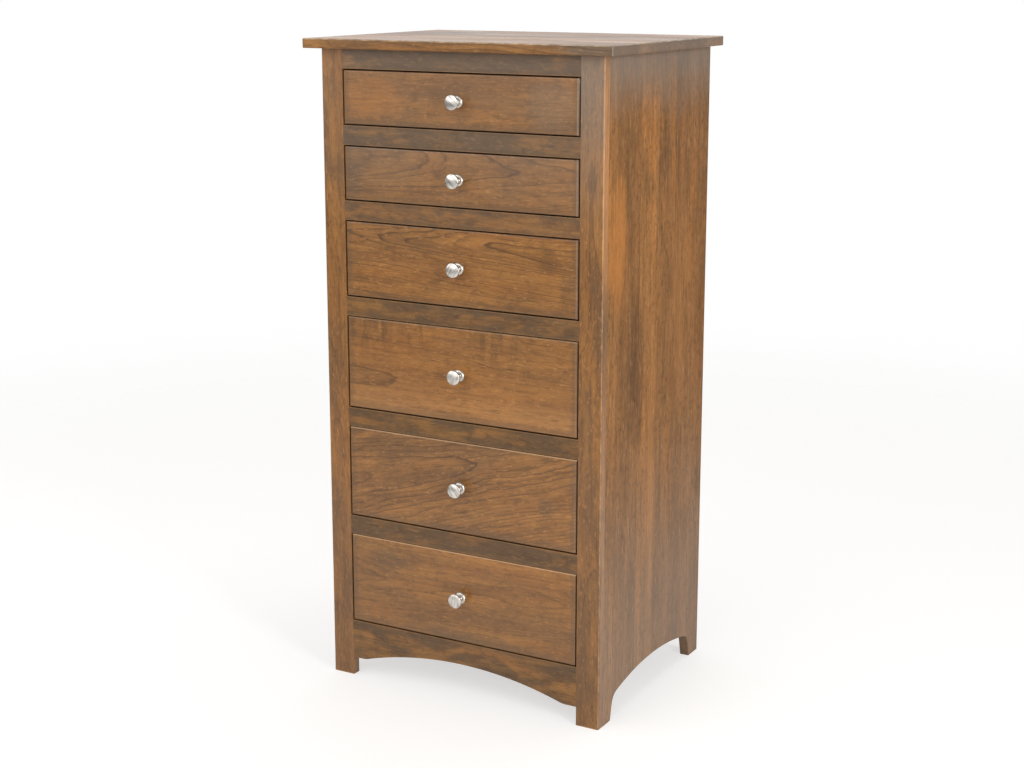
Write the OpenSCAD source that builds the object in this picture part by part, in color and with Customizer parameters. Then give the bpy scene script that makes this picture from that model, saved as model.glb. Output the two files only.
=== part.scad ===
// Tall narrow chest of six drawers, in stained solid wood, with an arched apron and arched sides.
// Millimetres, +Z up. The front faces -Y. The origin is on the floor, at the middle of the bounding box.

/* [Carcase] */
// Width over the two sides
body_w = 610; // [540:1:760]
// Depth from the face of the frame to the back edges of the sides
body_d = 472; // [420:1:560]
// Height of the lowest drawer opening above the floor
base_h = 119; // [105:1:160]
// Thickness of each side
side_t = 19; // [17:0.5:22]
// Thickness of the plywood back
back_t = 6; // [4:0.5:8]
// Width of the rebate in each side that the back sits in
rebate_w = 9; // [6:0.5:12]
// Height of each of the two rails across the back
back_rail_h = 60; // [45:1:80]
// Thickness of each of the two rails across the back
back_rail_t = 19; // [16:0.5:22]

/* [Face frame] */
// Width of each stile, which runs down to the floor as a front foot
stile_w = 48; // [45:1:60]
// Height of the top rail and of each rail between two drawers
rail_h = 38; // [34:1:50]
// Thickness of the stiles, the rails and the apron
frame_t = 19; // [17:0.5:22]
// Length of the tenons on the rails and the apron
tenon_l = 16; // [10:1:22]
// Thickness of those tenons
tenon_t = 8; // [6:0.5:10]
// Wood left above and below each tenon
tenon_shoulder = 6; // [4:0.5:9]

/* [Top board] */
// Thickness of the top board
top_t = 19; // [17:0.5:25]
// Overhang of the top board at each side
top_side = 27; // [15:1:35]
// Overhang of the top board in front of the frame
top_front = 25; // [15:1:35]
// Overhang of the top board behind the sides
top_back = 2; // [0.5:0.5:15]
// Radius of the eased edges of the top board, the stiles and the drawer fronts
ease = 3; // [1:0.25:5]

/* [Feet and arches] */
// Length of a front foot on the floor, seen from the side, with the frame
front_foot = 51; // [40:1:70]
// Length of a rear foot on the floor, seen from the side
rear_foot = 43; // [35:1:65]
// Lean of the foot edges from upright, in degrees
foot_lean = 13; // [6:1:18]
// Height of the crown of each side arch above the floor
arch_h = 72; // [60:1:95]
// Radius of the long arc of each side arch
arch_r = 687; // [450:1:1200]
// Radius of the curve between a foot edge and the long arc
foot_r = 28; // [12:1:35]
// Height of the straight ends of the apron above the floor
apron_low = 38; // [25:1:50]
// Length of the straight end of the apron beside each stile
apron_flat = 29; // [15:1:50]
// Rise of the arc of the apron over its straight ends
apron_rise = 35; // [15:1:45]
// Radius that eases the arc of the apron into its straight ends
apron_ease = 40; // [5:1:80]

/* [Drawer openings] */
// Height of the opening for each of the two top drawers
small_h = 108; // [85:1:140]
// Height of the opening for the third drawer
mid_h = 152; // [110:1:190]
// Height of the opening for each of the three lower drawers
large_h = 187; // [140:1:220]
// Gap round each drawer front
front_gap = 2; // [1.5:0.25:4]

/* [Drawer boxes] */
// Thickness of a drawer front
front_t = 19; // [17:0.5:22]
// Thickness of a drawer side
box_side_t = 12; // [10:0.5:15]
// Thickness of a drawer back
box_back_t = 12; // [10:0.5:15]
// Thickness of the plywood bottom of a drawer
bottom_t = 6; // [4:0.5:8]
// Height of the groove for the bottom above the lower edge of the drawer
bottom_up = 10; // [8:0.5:16]
// Depth of that groove
groove = 6; // [4:0.5:7]
// How far the sides of a drawer stay below the top of its front
side_drop = 4; // [2:0.5:12]
// Room between a drawer box and the rails across the back
rear_room = 17; // [15:0.5:40]

/* [Dovetails] */
// Height of wood that each tail and its neighbouring pin take
tail_pitch = 34; // [24:1:45]
// Share of that height that the narrow end of a tail takes
tail_share = 0.6; // [0.5:0.05:0.7]
// Widening of a tail to each side, per millimetre of its length
tail_slope = 0.14; // [0.1:0.01:0.17]
// Wood left in a drawer front ahead of its tails
front_lap = 5; // [4:0.5:8]

/* [Runners] */
// Running clearance between a drawer and what carries, guides and stops it
run_gap = 0.3; // [0.2:0.05:0.6]
// How far each runner reaches beyond its guide face, under the drawer side
runner_lip = 15; // [12:0.5:22]
// Height of the guide of each runner above the ledge that the drawer runs on
guide_up = 26; // [20:1:34]
// Length of each stop block, from front to back
stop_l = 14; // [8:0.5:14.5]
// Height of each stop block
stop_h = 16; // [10:1:24]

/* [Screws] */
// Diameter of the wood screws
screw_d = 4; // [3:0.5:5]
// Diameter of their heads
screw_head_d = 8; // [7:0.5:10]
// Thickness of their heads
screw_head_t = 2; // [1.5:0.25:2.5]
// Thickness of wood that each screw clamps
screw_grip = 24; // [18:1:25]
// How far each screw bites into the board beyond
screw_bite = 12; // [8:1:13]
// Distance of the end screws from the ends of a runner
screw_in = 45; // [25:1:80]
// Clearance between a screw and its hole, all round
hole_ease = 0.3; // [0.2:0.05:0.5]

/* [Knobs] */
// Diameter of the head of a knob
head_d = 28.5; // [26:0.5:38]
// Diameter of the base of a knob
base_d = 24; // [20:0.5:32]
// Diameter of the neck of a knob
neck_d = 11; // [10:0.5:14]
// Projection of a knob from the drawer front
knob_out = 26; // [25:0.5:36]
// Height of the dome of the head
dome_h = 3; // [2:0.25:5]
// Thickness of the head at its rim
rim_t = 4; // [3.5:0.25:6]
// Radius of the round edges of the rim
rim_round = 1.75; // [1:0.25:1.75]
// Slope of the underside of the head, from its neck to its rim
under_h = 1.6; // [0.8:0.1:2.5]
// Thickness of the base at its edge
base_t = 0.8; // [0.4:0.1:1.6]
// Rise of the round shoulder of the base, from its edge to the neck
base_rise = 4; // [3:0.25:5]
// Width of the flare at each end of the neck
neck_flare = 1.5; // [0.75:0.25:2.5]
// Diameter of the knob screw
bolt_d = 4; // [3:0.5:5]
// How far the knob screw reaches into the knob
bolt_bite = 10; // [7:0.5:14]
// Diameter of the head of the knob screw
bolt_head_d = 10; // [8:0.5:12]
// Thickness of the head of the knob screw
bolt_head_t = 2.5; // [1.5:0.25:3.5]

/* [Hidden] */
$fn = 48;
arc_steps = 36;
corner_steps = 10;
ease_steps = 4;

// Openings from the top down, and the drawers that fill them
OPENINGS = [small_h, small_h, mid_h, large_h, large_h, large_h];
LAST = len(OPENINGS) - 1;
DRAWERS = [0:LAST];

function stack(i) = i < 0 ? 0 : OPENINGS[i] + rail_h + stack(i - 1);
body_h = base_h + stack(LAST);
function opening_low(i) = body_h - stack(i);

// Widths across the front
opening_w = body_w - 2 * stile_w;
front_w = opening_w - 2 * front_gap;
inner_x = body_w / 2 - side_t;

// Depths, measured from the face of the frame
runner_end = body_d - back_t - back_rail_t;
box_l = runner_end - rear_room;
front_reach = max(knob_out, top_front);
face_y = front_reach - (front_reach + body_d + top_back) / 2;

// Each runner has its guide face just outside the drawer, and its ledge just under it
guide_x = front_w / 2 + run_gap;
function ledge_z(i) = opening_low(i) + front_gap - run_gap;

// Rails from the top down, each as its low and high edge
RAILS = concat([[body_h - rail_h, body_h]],
    [for (i = [0:LAST - 1]) [opening_low(i) - rail_h, opening_low(i)]]);
APRON = [apron_low, base_h];

// Drawer heights
function front_h(i) = OPENINGS[i] - 2 * front_gap;
function side_h(i) = front_h(i) - side_drop;
back_low = bottom_up + bottom_t;
screw_l = screw_grip + screw_bite;

SIDES = ["left", "right"];
DRAWER_PIECES = ["front", "side_left", "side_right", "back", "bottom", "knob", "knob_screw"];
function drawer_node(i, piece) = str("drawer_", i + 1, "_", piece);

WOOD = "#96683F";
PALE_WOOD = "#CDB08A";
PLYWOOD = "#B9935F";
NICKEL = "#C8C5BF";
STEEL = "#8D8F92";

// Points along an arc about c, from angle a0 to a1
function arc(c, r, a0, a1, n) =
    [for (i = [0:n]) c + r * [cos(a0 + (a1 - a0) * i / n), sin(a0 + (a1 - a0) * i / n)]];
function flip(points, about) = [for (p = points) [2 * about - p[0], p[1]]];
function backwards(points) = [for (i = [len(points) - 1:-1:0]) points[i]];
function inner(points) = [for (i = [1:len(points) - 2]) points[i]];

// A profile drawn in Y and Z, extruded along X, and one drawn in X and Z, extruded along Y
module along_x(x, w) translate([x, 0, 0]) rotate([90, 0, 90]) linear_extrude(w) children();
module along_y(y, l) translate([0, y + l, 0]) rotate([90, 0, 0]) linear_extrude(l) children();

// Everything is drawn with the face of the frame at Y = 0 and then moved to the origin's frame
module placed() translate([0, face_y, 0]) children();
module both_sides() {
    children();
    mirror([1, 0, 0]) children();
}
module on_side(side) mirror([side == "left" ? 1 : 0, 0, 0]) children();

// The eased corner of a profile at p, counterclockwise from angle a.
// The signs in way point from the corner into the board.
function eased_corner(p, way, a) = arc(p + ease * way, ease, a, a + 90, ease_steps);
function eased_rectangle(p, q) = concat(
    eased_corner(p, [1, 1], 180), eased_corner([q[0], p[1]], [-1, 1], 270),
    eased_corner(q, [-1, -1], 0), eased_corner([p[0], q[1]], [1, -1], 90));

// Board from low to high with every edge eased
module eased_board(low, high) intersection() {
    translate([0, 0, low[2]]) linear_extrude(high[2] - low[2])
        polygon(eased_rectangle([low[0], low[1]], [high[0], high[1]]));
    along_x(low[0], high[0] - low[0])
        polygon(eased_rectangle([low[1], low[2]], [high[1], high[2]]));
    along_y(low[1], high[1] - low[1])
        polygon(eased_rectangle([low[0], low[2]], [high[0], high[2]]));
}

// Screws: the head bears at Z = 0 and the shank points up
module wood_screw() {
    translate([0, 0, -screw_head_t]) cylinder(d = screw_head_d, h = screw_head_t);
    cylinder(d = screw_d, h = screw_l - screw_d);
    translate([0, 0, screw_l - screw_d]) cylinder(d1 = screw_d, d2 = screw_d / 4, h = screw_d);
}
// The hole for one screw, with a counterbore of the given depth for its head
module screw_cut(counterbore) {
    cylinder(d = screw_d + 2 * hole_ease, h = screw_l + hole_ease);
    translate([0, 0, -counterbore]) cylinder(d = screw_head_d + 2 * hole_ease, h = counterbore);
}
runner_counterbore = inner_x - guide_x - screw_grip;
cleat_counterbore = rail_h - screw_grip;

// Two screws hold each runner to its side, and three hold each cleat to the top board
module at_runner_screws(i) for (y = [frame_t + screw_in, runner_end - screw_in])
    translate([guide_x + runner_counterbore, y, ledge_z(i) + guide_up / 2]) rotate([0, 90, 0]) children();
module at_cleat_screws() for (share = [0, 0.5, 1])
    translate([guide_x, frame_t + screw_in + share * (runner_end - frame_t - 2 * screw_in),
        body_h - screw_grip]) children();

// Outline of the arch under a side, from the front foot to the rear foot.
// The leaning foot edge, a small arc and the long arc meet as tangents.
arch_mid = (front_foot + body_d - rear_foot) / 2;
arch_c = [arch_mid, arch_h - arch_r];
lean = [sin(foot_lean), cos(foot_lean)];
lean_side = [cos(foot_lean), -sin(foot_lean)];
foot_start = [front_foot, 0] + foot_r * lean_side - arch_c;
foot_up = -foot_start * lean
    + sqrt(pow(foot_start * lean, 2) - foot_start * foot_start + pow(arch_r - foot_r, 2));
foot_c = arch_c + foot_start + foot_up * lean;
foot_turn = atan2(foot_c[1] - arch_c[1], foot_c[0] - arch_c[0]);
half_arch = concat([[front_foot, 0]], arc(foot_c, foot_r, 180 - foot_lean, foot_turn, corner_steps));
arch_line = concat(half_arch, inner(arc(arch_c, arch_r, foot_turn, 180 - foot_turn, arc_steps)),
    backwards(flip(half_arch, arch_mid)));

// Lower edge of the apron, from left to right: straight ends eased into one shallow arc
apron_half = opening_w / 2 - apron_flat;
apron_r = (pow(apron_half, 2) + pow(apron_rise, 2)) / (2 * apron_rise);
apron_c = [0, apron_low + apron_rise - apron_r];
apron_turn_c = [-sqrt(pow(apron_r + apron_ease, 2) - pow(apron_low + apron_ease - apron_c[1], 2)),
    apron_low + apron_ease];
apron_turn = atan2(apron_turn_c[1] - apron_c[1], apron_turn_c[0] - apron_c[0]);
apron_end = arc(apron_turn_c, apron_ease, -90, apron_turn - 180, corner_steps);
apron_line = concat([[-opening_w / 2, apron_low]], apron_end,
    inner(arc(apron_c, apron_r, apron_turn, 180 - apron_turn, arc_steps)),
    backwards(flip(apron_end, 0)), [[opening_w / 2, apron_low]]);

// Tenons of a rail between two heights, also cut from the stiles as mortises
module tenons(edges) both_sides()
    translate([opening_w / 2, (frame_t - tenon_t) / 2, edges[0] + tenon_shoulder])
        cube([tenon_l, tenon_t, edges[1] - edges[0] - 2 * tenon_shoulder]);

module top_panel() color(WOOD) placed() difference() {
    eased_board([-body_w / 2 - top_side, -top_front, body_h],
        [body_w / 2 + top_side, body_d + top_back, body_h + top_t]);
    both_sides() at_cleat_screws() screw_cut(0);
}

// Side of the carcase behind the face frame, with its arch, its feet and the rebate for the back
module side(side) color(WOOD) placed() on_side(side) difference() {
    along_x(inner_x, side_t) polygon(concat(arch_line,
        [[body_d, 0], [body_d, body_h], [frame_t, body_h], [frame_t, 0]]));
    translate([inner_x, body_d - back_t, apron_low]) cube([rebate_w, back_t, body_h - apron_low]);
    for (i = DRAWERS) at_runner_screws(i) screw_cut(0);
}

module stile(side) color(WOOD) placed() on_side(side) difference() {
    linear_extrude(body_h) polygon(concat([[opening_w / 2, 0]],
        eased_corner([body_w / 2, 0], [-1, 1], 270),
        [[body_w / 2, frame_t], [opening_w / 2, frame_t]]));
    for (edges = concat(RAILS, [APRON])) tenons(edges);
}

module rail(edges) color(WOOD) placed() {
    translate([-opening_w / 2, 0, edges[0]]) cube([opening_w, frame_t, edges[1] - edges[0]]);
    tenons(edges);
}

module apron() color(WOOD) placed() {
    along_y(0, frame_t) polygon(concat(apron_line,
        [[opening_w / 2, base_h], [-opening_w / 2, base_h]]));
    tenons(APRON);
}

module back_panel() color(PLYWOOD) placed()
    translate([-inner_x - rebate_w, body_d - back_t, apron_low])
        cube([2 * (inner_x + rebate_w), back_t, body_h - apron_low]);

module back_rails() color(PALE_WOOD) placed() for (z = [apron_low, body_h - back_rail_h])
    translate([-inner_x, runner_end, z]) cube([2 * inner_x, back_rail_t, back_rail_h]);

// Runners: a deep ledge under each side of a drawer, with a guide beside it.
// The ledge is as deep as a rail, so it also keeps the drawer below from tipping.
module runners() color(PALE_WOOD) placed() for (i = DRAWERS) both_sides() difference() {
    along_y(frame_t, runner_end - frame_t) polygon([
        [guide_x - runner_lip, ledge_z(i) - rail_h], [inner_x, ledge_z(i) - rail_h],
        [inner_x, ledge_z(i) + guide_up], [guide_x, ledge_z(i) + guide_up],
        [guide_x, ledge_z(i)], [guide_x - runner_lip, ledge_z(i)]]);
    at_runner_screws(i) screw_cut(runner_counterbore);
}

// A block at the back of each runner stops the drawer with its front flush with the frame
module drawer_stops() color(PALE_WOOD) placed() for (i = DRAWERS) both_sides()
    translate([guide_x - runner_lip, box_l + run_gap, ledge_z(i)]) cube([runner_lip, stop_l, stop_h]);

module top_cleats() color(PALE_WOOD) placed() both_sides() difference() {
    translate([guide_x - runner_lip, frame_t, body_h - rail_h])
        cube([inner_x - guide_x + runner_lip, runner_end - frame_t, rail_h]);
    at_cleat_screws() screw_cut(cleat_counterbore);
}

module screws() color(STEEL) placed() both_sides() {
    for (i = DRAWERS) at_runner_screws(i) wood_screw();
    at_cleat_screws() wood_screw();
}

// Drawers are drawn with their lower edge at Z = 0, and then raised into their openings
module in_opening(i) placed() translate([0, 0, opening_low(i) + front_gap]) children();

// Tails from z0 to z1, pointing from the shoulder at y by the signed length l.
// Their points run upwards.
function tails(y, l, z0, z1) =
    let (n = max(2, round((z1 - z0) / tail_pitch)), pitch = (z1 - z0) / n,
        root = pitch * tail_share / 2, tip = root + abs(l) * tail_slope)
    [for (k = [0:n - 1]) let (z = z0 + (k + 0.5) * pitch)
        each [[y, z - root], [y + l, z - tip], [y + l, z + tip], [y, z + root]]];
function front_tails(i) = tails(front_t, front_lap - front_t, 0, side_h(i));
function back_tails(i) = tails(box_l - box_back_t, box_back_t, back_low, side_h(i));

module box_side(i) along_x(front_w / 2 - box_side_t, box_side_t) polygon(concat(
    [[front_t, 0]], front_tails(i), [[front_t, side_h(i)], [box_l - box_back_t, side_h(i)]],
    backwards(back_tails(i)), [[box_l - box_back_t, back_low], [box_l, back_low], [box_l, 0]]));

module box_bottom()
    translate([-front_w / 2 + box_side_t - groove, front_t - groove, bottom_up])
        cube([front_w - 2 * (box_side_t - groove), box_l - front_t + groove, bottom_t]);

// Front board with its four front edges eased
module front_board(i) intersection() {
    linear_extrude(front_h(i)) polygon(concat(
        eased_corner([-front_w / 2, 0], [1, 1], 180), eased_corner([front_w / 2, 0], [-1, 1], 270),
        [[front_w / 2, front_t], [-front_w / 2, front_t]]));
    along_x(-front_w / 2, front_w) polygon(concat(
        eased_corner([0, 0], [1, 1], 180), [[front_t, 0], [front_t, front_h(i)]],
        eased_corner([0, front_h(i)], [1, -1], 90)));
}

// The knob and its screw lie on the middle of the front, with their axis out of the drawer
module at_knob(i) translate([0, 0, front_h(i) / 2]) rotate([90, 0, 0]) children();

module drawer_front(i) color(WOOD) in_opening(i) difference() {
    front_board(i);
    both_sides() box_side(i);
    box_bottom();
    at_knob(i) translate([0, 0, -front_t]) cylinder(d = bolt_d + 2 * hole_ease, h = front_t);
}

module drawer_side(i, side) color(PALE_WOOD) in_opening(i) on_side(side) difference() {
    box_side(i);
    box_bottom();
}

module drawer_back(i) color(PALE_WOOD) in_opening(i) difference() {
    translate([-front_w / 2, box_l - box_back_t, back_low])
        cube([front_w, box_back_t, side_h(i) - back_low]);
    both_sides() box_side(i);
}

module drawer_bottom(i) color(PLYWOOD) in_opening(i) box_bottom();

// Turned knob: a swelling base, a waisted neck, and a domed head whose round rim runs into the dome
dome_r = (pow(head_d / 2, 2) + pow(dome_h, 2)) / (2 * dome_h);
dome_mid = knob_out - dome_r;
rim_r = head_d / 2 - rim_round;
rim_mid = dome_mid + sqrt(pow(dome_r - rim_round, 2) - pow(rim_r, 2));
rim_turn = atan2(rim_mid - dome_mid, rim_r);
head_low = knob_out - dome_h - rim_t;
flare_r = neck_d / 2 + neck_flare;
neck_low = base_t + base_rise;
swell_w = base_d / 2 - flare_r;
swell = [for (i = [0:corner_steps]) let (a = 90 * i / corner_steps)
    [flare_r + swell_w * cos(a), base_t + base_rise * sin(a)]];
waist_h = (head_low - under_h - neck_low) / 2;
waist = [for (i = [1:arc_steps]) let (a = 270 - 180 * i / arc_steps)
    [flare_r + neck_flare * cos(a), neck_low + waist_h + waist_h * sin(a)]];
module knob_profile() polygon(concat(
    [[0, 0], [base_d / 2, 0]],
    swell,
    waist,
    arc([rim_r, head_low + rim_round], rim_round, -90, 0, corner_steps),
    arc([rim_r, rim_mid], rim_round, 0, rim_turn, corner_steps),
    inner(arc([0, dome_mid], dome_r, rim_turn, 90, corner_steps)),
    [[0, knob_out]]));

module drawer_knob(i) color(NICKEL) in_opening(i) at_knob(i) difference() {
    rotate_extrude($fn = 96) knob_profile();
    cylinder(d = bolt_d + 2 * hole_ease, h = bolt_bite + hole_ease);
}

module drawer_knob_screw(i) color(STEEL) in_opening(i) at_knob(i) translate([0, 0, -front_t]) {
    translate([0, 0, -bolt_head_t]) cylinder(d = bolt_head_d, h = bolt_head_t);
    cylinder(d = bolt_d, h = front_t + bolt_bite);
}

top_panel();
for (side = SIDES) {
    side(side);
    stile(side);
}
rail(RAILS[0]);  // top_rail
for (i = [1:LAST]) rail(RAILS[i]);
apron();
back_panel();
back_rails();
runners();
drawer_stops();
top_cleats();
screws();
for (i = DRAWERS) {
    drawer_front(i);
    for (side = SIDES)
        drawer_side(i, side);
    drawer_back(i);
    drawer_bottom(i);
    drawer_knob(i);
    drawer_knob_screw(i);
}
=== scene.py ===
"""Looks for a tall narrow chest of six drawers, in stained cherry with satin nickel knobs.

Every wood material is solid: growth rings round a pith line, fibres, pores and stain are worked out
in space, so faces, edges and end grain agree with each other. Lengths are in metres.
"""
import math
import random
from collections import namedtuple

import bmesh
import bpy
from mathutils import Euler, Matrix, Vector


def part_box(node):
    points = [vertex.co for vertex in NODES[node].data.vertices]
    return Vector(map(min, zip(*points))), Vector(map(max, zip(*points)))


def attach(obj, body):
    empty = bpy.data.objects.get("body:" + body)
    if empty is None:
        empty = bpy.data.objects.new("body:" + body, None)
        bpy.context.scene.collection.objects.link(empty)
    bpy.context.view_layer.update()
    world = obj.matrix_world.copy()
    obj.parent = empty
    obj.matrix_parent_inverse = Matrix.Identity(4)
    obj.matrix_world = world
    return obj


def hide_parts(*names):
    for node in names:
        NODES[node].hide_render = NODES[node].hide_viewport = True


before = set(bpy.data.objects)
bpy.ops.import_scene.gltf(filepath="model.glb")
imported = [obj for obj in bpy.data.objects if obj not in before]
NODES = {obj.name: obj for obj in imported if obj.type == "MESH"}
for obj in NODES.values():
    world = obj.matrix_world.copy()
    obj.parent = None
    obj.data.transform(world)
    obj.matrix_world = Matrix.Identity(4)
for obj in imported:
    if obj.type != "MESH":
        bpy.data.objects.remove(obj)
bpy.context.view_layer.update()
AXES = "XYZ"

# Colours as they should look, in sRGB
# Of these, the grey #8C8378 paints shade and sheen by the top board and the floor's reflection low
# down, #DDB58A and #B4ACA2 paint highlights on drawer fronts' edges, the tone of rubbed edges
# BE8750 also paints their highlight, and #DC9858 paints light on the right stile's outer face
STAINED = {"light": "#A8733A", "mid": "#8A5C2E", "dark": "#4C3118", "pore": "#2A1B0F",
           "cloud": "#604A33", "warm": "#B57433", "worn": "#BE8750", "end": "#2A1B0F",
           "glint": "#BE8750", "haze": "#8C8378", "line": "#DDB58A", "glare": "#B4ACA2",
           "flank": "#DC9858"}
SIDES = {**STAINED, "light": "#B87E44", "mid": "#966633", "warm": "#C47F3B", "cloud": "#6D5131",
         "glint": "#C4905F"}
# The tones of rubbed edges on the stiles and the top board, #CFA87C and #E2CDB0, are partly wear
# and partly a painted highlight, and the top board's grey end tone #6B6760 paints a reflection on
# its edges
STILES = {**STAINED, "worn": "#CFA87C"}
RAILS = {**STAINED, "light": "#986B39", "mid": "#7B5630", "cloud": "#584531", "warm": "#A06C3B"}
TOP = {**STAINED, "light": "#BE8548", "mid": "#9E6C39", "warm": "#C27C38", "worn": "#E2CDB0",
       "end": "#6B6760"}
MAPLE = {"light": "#DBBE93", "mid": "#C9A777", "dark": "#9C774B", "pore": "#7A5A36",
         "cloud": "#BE9C6E", "warm": "#D2A86E", "worn": "#E4CBA4", "end": "#7A5A36",
         "glint": "#E4CBA4"}
VENEER = {"light": "#C9A375", "mid": "#B38B5D", "dark": "#86603C", "pore": "#6B4A2C",
          "cloud": "#A98558", "warm": "#BC8E58", "worn": "#D6B68C", "end": "#6B4A2C",
          "glint": "#D6B68C"}
NICKEL = "#D5D0C8"
NICKEL_DULL = "#A39C92"
NICKEL_FACE = "#E2DED8"
BRUSHED_DARK = "#958E86"
ZINC = "#A9ABAD"
ZINC_DULL = "#85878A"
FLOOR = "#B4B2AF"


def colour(code):
    """Linear RGBA of an sRGB code such as #A07248."""
    parts = [int(code[k:k + 2], 16) / 255 for k in (1, 3, 5)]
    return [p / 12.92 if p <= 0.04045 else ((p + 0.055) / 1.055) ** 2.4 for p in parts] + [1.0]


class Graph:
    """The node tree of a material or world, with short calls that add and join nodes."""

    def __init__(self, owner):
        owner.use_nodes = True
        self.owner = owner
        self.tree = owner.node_tree
        self.tree.nodes.clear()

    def add(self, kind, inputs=None, **settings):
        """Adds a shader node of that kind. An input is a value or another node's output."""
        node = self.tree.nodes.new("ShaderNode" + kind)
        for key, value in settings.items():
            setattr(node, key, value)
        for key, value in (inputs or {}).items():
            self.put(node.inputs[key], value)
        return node

    def put(self, socket, value):
        if isinstance(value, bpy.types.NodeSocket):
            self.tree.links.new(value, socket)
        else:
            socket.default_value = value

    def math(self, operation, a, b=0.0):
        return self.add("Math", {0: a, 1: b}, operation=operation).outputs[0]

    def plus(self, total, *values):
        for value in values:
            total = self.math("ADD", total, value)
        return total

    def times(self, product, *values):
        for value in values:
            product = self.math("MULTIPLY", product, value)
        return product

    def vector(self, operation, a, b=(0, 0, 0)):
        return self.add("VectorMath", {0: a, 1: b}, operation=operation).outputs[0]

    def length(self, a):
        return self.add("VectorMath", {0: a}, operation="LENGTH").outputs["Value"]

    def xyz(self, a):
        """The three numbers of a vector."""
        return self.add("SeparateXYZ", {0: a}).outputs

    def where(self):
        """The place on the object, in its own frame."""
        return self.add("TexCoord").outputs["Object"]

    def noise(self, place, scale, detail, roughness, distortion=0.0):
        """Noise from 0 to 1. Scale is per metre along each axis of place."""
        stretched = self.vector("MULTIPLY", place, scale)
        return self.add("TexNoise", {"Vector": stretched, "Scale": 1.0, "Detail": detail,
                                     "Roughness": roughness, "Distortion": distortion}).outputs[0]

    def between(self, value, low, high, to_low=0.0, to_high=1.0):
        """Value eased from to_low, at low and under, to to_high, at high and over."""
        return self.add("MapRange", {"Value": value, "From Min": low, "From Max": high,
                                     "To Min": to_low, "To Max": to_high},
                        interpolation_type="SMOOTHSTEP").outputs[0]

    def mix(self, share, a, b):
        """Colour a with a share of colour b over it."""
        node = self.add("Mix", {"Factor": share}, data_type="RGBA")
        # The colour sockets of a Mix node share their names with its others, so they go by number
        self.put(node.inputs[6], a)
        self.put(node.inputs[7], b)
        return node.outputs[2]

    def finish(self, shader, output="OutputMaterial"):
        self.add(output, {"Surface": shader.outputs[0]})
        return self.owner


# A layer of the figure: the waves per metre of its noise along the grain and across it, the
# noise's detail, roughness and distortion, and its values where the layer begins and is full
Layer = namedtuple("Layer", "along across detail roughness distortion low high",
                   defaults=(2, 0.5, 0.0, 0.0, 1.0))
BROAD = Layer(3, 42, 5, 0.62, 0.0, 0.30, 0.70)
WARM = Layer(2.2, 18, 3, 0.6, 0.3, 0.46, 0.70)
RIPPLE = Layer(70, 8, 2, 0.5, 0.6, 0.40, 0.66)
RIPPLE_GROUPS = Layer(9, 3, 2, 0.5, 0.0, 0.42, 0.58)
FIBRE = Layer(9, 170, 4, 0.62, 0.0, 0.46, 0.74)
THREAD = Layer(28, 900, 3, 0.6, 0.0, 0.45, 0.75)
PORES = Layer(70, 1100, 2, 0.5, 0.0, 0.60, 0.72)
DASHES = Layer(30, 340, 3, 0.6, 0.0, 0.58, 0.72)
RING_BEND = Layer(1.5, 7)

# How far the bend moves the rings, and over how much of its noise a cloud comes in
RING_BEND_SIZE = 0.055
CLOUD_EASE = 0.24


def clouds_of(t):
    long, wide = t["cloud_size"]
    return Layer(1 / long, 1 / wide, 3, 0.55, 0.5, t["cloud_from"], t["cloud_from"] + CLOUD_EASE)


def mottle_of(t):
    long, wide = t["mottle_size"]
    return Layer(1 / long, 1 / wide, 5, 0.72, 0.5, 0.44, 0.74)


def glints_of(t):
    return Layer(t["glint_waves"], 270, 2, 0.6, 0.0, 0.57, 0.70)


# Traits of a board, unless it says otherwise. Most are shares of a tone, from 0 to 1.
TRAITS = {
    # Growth rings, their width, and how far they drift along the grain. Their curl is its size and
    # its waves per metre along the grain and across it. The higher years is, the fewer are dark.
    "rings": 0.75, "ring_width": 0.0042, "taper": 0.04, "curl": (0.005, 9, 55), "years": 2.0,
    # Dark fibres, dark mottle and clouds with their sizes along the grain and across it, warm
    # bands, short dark flecks, short light glints, and a ripple on the upper half
    "streaks": 0.4, "mottle": 0.5, "mottle_size": (0.028, 0.0133), "clouds": 0.4,
    "cloud_from": 0.42, "cloud_size": (0.29, 0.083), "warm": 0.2, "flecks": 0.45, "glints": 0.4,
    "glint_waves": 75, "ripple": 0.0,
    # Paler low on the board, darker towards the floor, a grey of painted shade and sheen from a
    # height up by the top board, if need be only on the faces that look along a given axis, and a
    # grey painted reflection of the floor towards the floor
    "low_light": 0.0, "low_down": 0.0, "haze": 0.0, "haze_from": 1.2, "haze_on": None,
    "haze_low": 0.0,
    # Patches of other tones, mostly stain, and darker end grain
    "patches": (), "ends": 0.55,
    # Darkening beside the edges and its reach, edges rubbed light with a painted highlight, painted
    # shade in the gap round a drawer front and its share at the upper edge, a painted highlight
    # there, and a grey painted highlight at the right end
    "residue": 0.35, "residue_reach": 0.016, "worn": 0.35, "sunk": 0.0, "sunk_top": 1.0,
    "top_line": 0.0, "end_line": 0.0,
    # Gloss
    "rough": 0.38, "specular": 0.5, "coat": 0.4}

# Turn that brings each grain direction onto X, the length of log that the boards come from, how
# far from each other in it the staves of a board may lie, and how dark their tint may be
GRAIN_TURN = {"X": (0, 0, 0), "Y": (0, 0, -math.pi / 2), "Z": (0, math.pi / 2, 0)}
LOG_LENGTH = 20
STAVE_LEAP = (9.0, 0.16, 0.16)
STAVE_DARK = 0.35

# Within a ring, from 0 to 1: its slow darkening, the thin line that ends it, and the pale start
# of the next, each with its range and its values at both ends
DARKENING = 0.25, 0.95, 0, 0.4
RING_LINE = 0.76, 0.9, 0, 0.6
PALE_START = 0.94, 1.0, 1, 0

# How dark the finest fibres and the pores are
THREAD_DARK = 0.3
PORE_DARK = 0.4

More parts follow.
